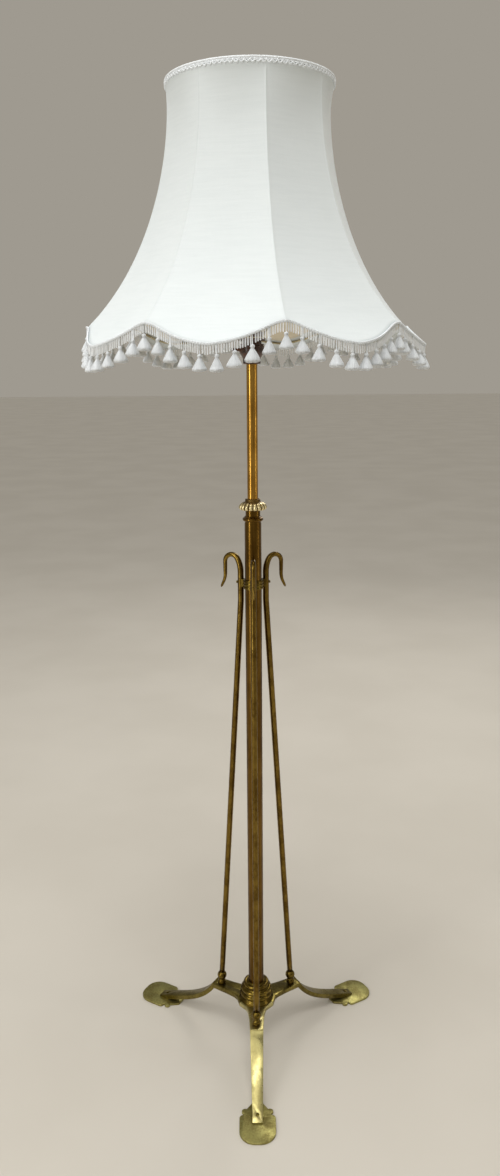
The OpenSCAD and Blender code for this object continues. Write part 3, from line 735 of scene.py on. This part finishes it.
# shade: eight gores over curved struts, flat between seams from a third of the way down
shadeSet = {
    "panels": 8,
    "seamTurn": 10.0,
    "neckR": 0.114,
    "hemR": 0.232,
    "seamH": 0.316,
    "neckPull": (-0.009, -0.058),
    "hemPull": (0.0106, 0.099),
    "scallop": 0.030,
    "hemSlope": 3.1,  # turns a height at the hem into a share of the seam
    "roundness": 0.18,
    "flatFrom": 0.36,
    "rows": 56,
    "seamWide": 0.01,  # share of a panel
}
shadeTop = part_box("shade_cover")[1].z
seamLow = shadeTop - shadeSet["seamH"]
seamPulls = (
    (shadeSet["neckR"], shadeTop),
    (shadeSet["neckR"] + shadeSet["neckPull"][0], shadeTop + shadeSet["neckPull"][1]),
    (shadeSet["neckR"] + shadeSet["hemPull"][0], seamLow + shadeSet["hemPull"][1]),
    (shadeSet["hemR"], seamLow),
)


def seamPoint(t):
    shares = ((1 - t) ** 3, 3 * t * (1 - t) ** 2, 3 * t * t * (1 - t), t**3)
    return (
        sum(share * pull[0] for share, pull in zip(shares, seamPulls)),
        sum(share * pull[1] for share, pull in zip(shares, seamPulls)),
    )


# how far down the hem lies at this part of a panel, 1 at a seam and more between
def hemShare(panel):
    x = 2 * (panel % 1.0) - 1
    soft = shadeSet["roundness"]
    s = math.sqrt((1 - abs(x)) ** 2 + soft**2) - soft
    return 1 + shadeSet["scallop"] / (shadeSet["hemSlope"] * shadeSet["hemPull"][1]) * s * (2 - s)


# the face of the fabric: panel counts round the shade, share runs from 0 at the top to 1 at the hem
def facePoint(panel, share, proud=0.0, drop=0.0):
    x = 2 * (panel % 1.0) - 1
    t = share * hemShare(panel)
    radius, height = seamPoint(t)
    flat = 1.0 if t > shadeSet["flatFrom"] else math.sin(math.pi / 2 * t / shadeSet["flatFrom"])
    half = math.pi / shadeSet["panels"]
    chord = math.cos(half) / math.cos(x * half)
    radius = radius * (1 - flat * (1 - chord)) + proud
    turn = math.radians(shadeSet["seamTurn"]) + 2 * math.pi * panel / shadeSet["panels"]
    return atTurn(radius, turn, height - drop)


# columns of a panel, close together at the seams
panelCols = (0.0, 0.006, 0.014, 0.03, 0.06, 0.11, 0.18, 0.26, 0.34, 0.42, 0.5)
panelCols += (0.58, 0.66, 0.74, 0.82, 0.89, 0.94, 0.97, 0.986, 0.994)


# a cloth from the first share of the shade's height to the last, proud of the face of the fabric
def shadeSheet(name, material, sheet):
    points = []
    count = shadeSet["panels"] * len(panelCols)
    for i in range(shadeSet["rows"] + 1):
        share = sheet["first"] + (sheet["last"] - sheet["first"]) * i / shadeSet["rows"]
        for panel in range(shadeSet["panels"]):
            for col in panelCols:
                raised = sheet["ridge"] if min(col, 1 - col) < shadeSet["seamWide"] else 0.0
                points.append(facePoint(panel + col, share, sheet["proud"] + raised))
    made = newPiece(name, points, ringFaces(shadeSet["rows"] + 1, count), material)
    shell = made.modifiers.new("Thickness", "SOLIDIFY")
    shell.thickness = sheet["thick"]
    shell.offset = -1.0
    return made


# the cloth that the gores are cut from: their width at the hem, their length, and their area
def goreCut(sheet):
    panels = shadeSet["panels"]
    proud = sheet["proud"]
    widest = 0.0
    length = 0.0
    area = 0.0
    steps = 60
    nearlyOne = 0.999
    for i in range(steps):
        low, high = sheet["last"] * i / steps, sheet["last"] * (i + 1) / steps
        across = (facePoint(0.0, high, proud) - facePoint(nearlyOne, high, proud)).length
        middle = (facePoint(0.5, high, proud) - facePoint(0.5, low, proud)).length
        widest = max(widest, across)
        length += middle
        area += across * middle
    return (widest * panels, length), area * panels


coverSet = {"proud": 0.0, "first": 0.0, "last": 1.0, "thick": 0.0007, "ridge": 0.0002}
cover = shadeSheet("ShadeCover", shadeCloth, coverSet)
finishPiece(cover, "shade", "shade_fabric", "shade_cover")
liningSet = {"proud": -0.0047, "first": 0.004, "last": 0.955, "thick": 0.0005, "ridge": 0.0}
lining = shadeSheet("ShadeLining", liningCloth, liningSet)
finishPiece(lining, "shade", "shade_lining", "shade_lining")
print("shade cloth made")


# top braid: a corded roll over the edge, and a looped gimp under it
topBraidSet = {"roll": 0.0018, "gimp": 0.0012, "deep": 0.0037, "pitch": 0.0070, "twists": 240}
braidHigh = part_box("top_braid")[1]
braidR = braidHigh.x
points = []
faces = []
rollSteps = 960
line = []
radii = []
for i in range(rollSteps):
    turn = 2 * math.pi * i / rollSteps
    line.append(atTurn(braidR - topBraidSet["roll"], turn, braidHigh.z - topBraidSet["roll"]))
    radii.append(topBraidSet["roll"] * (0.93 + 0.07 * math.cos(turn * topBraidSet["twists"])))
sweep(line, radii, 10, points, faces, closed=True)
scallops = round(2 * math.pi * braidR / topBraidSet["pitch"])
for deep, gimp in ((1.0, topBraidSet["gimp"]), (0.2, topBraidSet["gimp"] * 0.8)):
    line = []
    steps = scallops * 12
    for i in range(steps):
        turn = 2 * math.pi * i / steps
        arc = abs(math.sin(scallops * turn / 2)) ** 0.75
        height = braidHigh.z - 0.0036 - topBraidSet["deep"] * deep * arc
        line.append(atTurn(braidR - 0.0012 - 0.0001 * arc, turn, height))
    sweep(line, [gimp] * steps, 6, points, faces, closed=True)
tapeSides = ((-0.0020, 0.0), (-0.0020, 1.0), (-0.0010, 1.0), (-0.0010, 0.0))
start = len(points)
tapeSteps = 256
for i in range(tapeSteps):
    turn = 2 * math.pi * i / tapeSteps
    for out, share in tapeSides:
        height = braidHigh.z - 0.0052 + share * 0.0042
        points.append(atTurn(braidR + out, turn, height))
faces.extend(ringFaces(tapeSteps, len(tapeSides), start, closed=True))
topBraid = newPiece("TopBraid", points, faces, braidThread)
finishPiece(topBraid, "shade", "shade_trim", "top_braid")
print("top braid made")


# evenly spaced places along the hem, as panel counts
def hemPlaces(pitch):
    steps = 4000
    spots = [facePoint(shadeSet["panels"] * i / steps, 1.0) for i in range(steps + 1)]
    reached = [0.0]
    for a, b in zip(spots, spots[1:]):
        reached.append(reached[-1] + (b - a).length)
    count = round(reached[-1] / pitch)
    places = []
    i = 0
    for k in range(count):
        want = reached[-1] * k / count
        while reached[i + 1] < want:
            i += 1
        share = (want - reached[i]) / (reached[i + 1] - reached[i])
        places.append(shadeSet["panels"] * (i + share) / steps)
    return places, reached[-1]


# hem braid: two cords that cross over a narrow tape
hemBraidSet = {"cord": 0.0008, "swing": 0.0010, "pitch": 0.0040, "out": 0.0011, "up": 0.0016}
points = []
faces = []
hemFine, hemLength = hemPlaces(hemBraidSet["pitch"] / 8)
hemWaves = round(hemLength / hemBraidSet["pitch"])
for strand in (0, 1):
    line = []
    for k, panel in enumerate(hemFine):
        phase = 2 * math.pi * hemWaves * k / len(hemFine) + strand * math.pi
        rise = hemBraidSet["up"] + hemBraidSet["swing"] * math.cos(phase)
        out = hemBraidSet["out"] + 0.0004 * math.sin(2 * phase + strand * math.pi)
        line.append(facePoint(panel, 1.0, out, -rise))
    sweep(line, [hemBraidSet["cord"]] * len(line), 6, points, faces, closed=True)
hemTape, hemLength = hemPlaces(0.004)
tapeSides = ((0.0009, -0.0031), (0.0009, 0.0003), (0.0, 0.0003), (0.0, -0.0031))
start = len(points)
for panel in hemTape:
    for out, drop in tapeSides:
        points.append(facePoint(panel, 1.0, out, drop))
faces.extend(ringFaces(len(hemTape), len(tapeSides), start, closed=True))
hemBraid = newPiece("HemBraid", points, faces, braidThread)
finishPiece(hemBraid, "shade", "shade_trim", "hem_braid")
print("hem braid made")


# looped fringe: each loop is two cords side by side that join below
fringeSet = {"pitch": 0.0033, "cord": 0.00042, "half": 0.00052, "length": 0.0108, "gap": 0.0010}
tasselSet = {
    "perPanel": 9,
    "threads": 24,
    "steps": 3,
    "length": 0.0218,
    "widest": 0.0093,
    "cordRadii": (0.0006, 0.0006, 0.0006, 0.0008),
    "cordSides": 6,
    "knotTo": 0.25,  # share of the length that the knot takes
    "knotR": 0.26,
    "raggedFrom": 0.88,
}
tasselPlaces = []
for panel in range(shadeSet["panels"]):
    for k in range(tasselSet["perPanel"]):
        tasselPlaces.append(panel + k / tasselSet["perPanel"])

hemOut = 0.0004
points = []
faces = []
loopPlaces, hemLength = hemPlaces(fringeSet["pitch"])
panelWidth = hemLength / shadeSet["panels"]
for panel in loopPlaces:
    nearest = min(abs((panel - place + 4) % 8 - 4) for place in tasselPlaces) * panelWidth
    shift = draw.uniform(-0.00008, 0.00008)
    longer = draw.uniform(-0.0005, 0.0003)
    sway = draw.uniform(-0.0002, 0.0002)
    if nearest < fringeSet["gap"]:
        continue
    spot = facePoint(panel, 1.0, hemOut)
    ahead = facePoint(panel + 0.004, 1.0, hemOut) - facePoint(panel - 0.004, 1.0, hemOut)
    slope = ahead.z / Vector((ahead.x, ahead.y)).length
    side = Vector((ahead.x, ahead.y, 0)).normalized()
    half = fringeSet["half"]
    bottom = fringeSet["length"] + longer - half
    line = []
    for share in (0.0, 0.33, 0.66, 1.0):
        tall = -slope * half * (1 - share)
        line.append(spot + side * (-half + shift + sway * share) + Vector((0, 0, tall - bottom * share)))
    for i in range(1, 4):
        a = math.pi * i / 4
        across = -half * math.cos(a) + shift + sway
        line.append(spot + side * across - Vector((0, 0, bottom + half * math.sin(a))))
    for share in (1.0, 0.66, 0.33, 0.0):
        tall = slope * half * (1 - share)
        line.append(spot + side * (half + shift + sway * share) + Vector((0, 0, tall - bottom * share)))
    sweep(line, [fringeSet["cord"]] * len(line), 6, points, faces)
fringe = newPiece("HemFringe", points, faces, fringeThread)
finishPiece(fringe, "shade", "shade_trim", "fringe_skirt")
print("fringe made")


# tassels: a cord from the hem, a tied knot, and a skirt of threads that swells to a round foot
tasselRows = (  # share of the length, share of the widest radius, how far the threads stand out
    (0.0, 0.08, 0.0),
    (0.03, 0.24, 0.05),
    (0.09, 0.31, 0.06),
    (0.15, 0.31, 0.06),
    (0.20, 0.23, 0.05),
    (0.25, 0.25, 0.12),
    (0.33, 0.36, 0.14),
    (0.43, 0.50, 0.13),
    (0.54, 0.65, 0.11),
    (0.65, 0.79, 0.10),
    (0.75, 0.91, 0.09),
    (0.83, 0.985, 0.09),
    (0.895, 1.0, 0.10),
    (0.945, 0.91, 0.13),
    (0.985, 0.66, 0.18),
    (1.0, 0.34, 0.20),
    (0.985, 0.08, 0.0),
)
points = []
faces = []
for place in tasselPlaces:
    hem = facePoint(place, 1.0, 0.0007)
    top = hem - Vector((0, 0, fringeSet["length"] + 0.0004))
    length = tasselSet["length"] * draw.uniform(0.93, 1.0)
    widest = tasselSet["widest"] * draw.uniform(0.88, 1.0)
    leanX, leanY = draw.uniform(-0.05, 0.05), draw.uniform(-0.05, 0.05)
    spin = draw.uniform(0, math.pi)
    squeeze = draw.uniform(0.88, 1.0)
    fill = draw.uniform(0.85, 1.1)
    count = tasselSet["threads"] * tasselSet["steps"]
    reach = [draw.uniform(-0.035, 0.02) for _ in range(tasselSet["threads"])]
    cord = [hem, hem - Vector((0, 0, 0.006)), hem - Vector((0, 0, 0.012)), top - Vector((0, 0, 0.001))]
    sweep(cord, tasselSet["cordRadii"], tasselSet["cordSides"], points, faces)
    start = len(points)
    for share, radius, stand in tasselRows:
        swell = radius
        if share >= tasselSet["knotTo"]:
            fuller = 1 + (fill - 1) * math.sin(math.pi * share)
            swell = tasselSet["knotR"] + (radius - tasselSet["knotR"]) * fuller
        for j in range(count):
            strand = j // tasselSet["steps"]
            ridge = (-1.0, 0.5, 0.5)[j % tasselSet["steps"]]
            turn = spin - 2 * math.pi * j / count
            r = widest * swell * (1 + stand * ridge)
            drop = length * (share + (reach[strand] if share > tasselSet["raggedFrom"] else 0.0))
            x = r * math.cos(turn) + leanX * drop
            y = r * math.sin(turn) * squeeze + leanY * drop
            points.append(top + Vector((x, y, -drop)))
    faces.extend(ringFaces(len(tasselRows), count, start))
    faces.append(tuple(range(start + count - 1, start - 1, -1)))
    end = start + (len(tasselRows) - 1) * count
    faces.append(tuple(range(end, end + count)))
tassels = newPiece("Tassels", points, faces, tasselThread)
finishPiece(tassels, "shade", "shade_trim", "tassels")
print("tassels made")

coverFlat, coverArea = goreCut(coverSet)
liningFlat, liningArea = goreCut(liningSet)


# floor and light
def floorLook(place):
    mottle = place.noise(2.2, 3.0)
    return {
        "Base Color": mottle.clip(0.3, 0.7).tint(
            rgba((0.66, 0.62, 0.55)), rgba((0.70, 0.66, 0.59))
        ),
        "Roughness": 0.75 + mottle * 0.1,
    }


floorMaterial = newMaterial("StudioFloor", {"Specular IOR Level": 0.2}, floorLook)
floorHalf = 30.0
floorDrop = 0.0004
corners = [(x * floorHalf, y * floorHalf, 0) for x, y in ((-1, -1), (1, -1), (1, 1), (-1, 1))]
floor = newPiece("StudioFloor", corners, [(0, 1, 2, 3)], floorMaterial)
floor.location.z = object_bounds()[0][2] - floorDrop

lightSet = {
    "top": {"place": (0.0, -0.5, 3.4), "size": (1.7, 1.7), "power": 40.0, "tint": (1.0, 1.0, 0.99)},
    "key": {"place": (-1.55, -1.3, 1.2), "size": (0.35, 2.2), "power": 13.0, "tint": (1.0, 0.98, 0.94)},
    "side": {"place": (1.9, -0.5, 1.3), "size": (0.2, 2.0), "power": 4.0, "tint": (1.0, 0.93, 0.82)},
    "back": {"place": (0.9, 2.4, 2.2), "size": (1.0, 1.0), "power": 14.0, "tint": (1.0, 0.97, 0.92)},
}
for name, light in lightSet.items():
    data = bpy.data.lights.new(name, "AREA")
    data.shape = "RECTANGLE"
    data.size, data.size_y = light["size"]
    data.energy = light["power"]
    data.color = light["tint"]
    lamp = bpy.data.objects.new(name, data)
    scene.collection.objects.link(lamp)
    lamp.location = light["place"]
    aim = Vector((0, 0, 1.0)) - lamp.location
    lamp.rotation_euler = aim.to_track_quat("-Z", "Y").to_euler()

# an even wash over the floor and the cloth
sunSet = {"power": 0.9, "spread": 70, "tint": (1.0, 0.99, 0.97), "towards": (0.45, 0.75, -0.9)}
sun = bpy.data.lights.new("Soft", "SUN")
sun.energy = sunSet["power"]
sun.angle = math.radians(sunSet["spread"])
sun.color = sunSet["tint"]
wash = bpy.data.objects.new("Soft", sun)
scene.collection.objects.link(wash)
wash.rotation_euler = Vector(sunSet["towards"]).to_track_quat("-Z", "Y").to_euler()

world = bpy.data.worlds.new("Studio")
scene.world = world
world.use_nodes = True
worldSet = {"light": (0.42, 0.40, 0.36), "backdrop": (0.56, 0.52, 0.45), "strength": 0.62}
background = world.node_tree.nodes["Background"]
pathNode = world.node_tree.nodes.new("ShaderNodeLightPath")
seen = Wire(world.node_tree, pathNode.outputs["Is Camera Ray"])  # 1 where the camera looks past the lamp
room = seen.tint(rgba(worldSet["light"]), rgba(worldSet["backdrop"]))
world.node_tree.links.new(room.socket, background.inputs["Color"])
background.inputs["Strength"].default_value = worldSet["strength"]
print("light set")
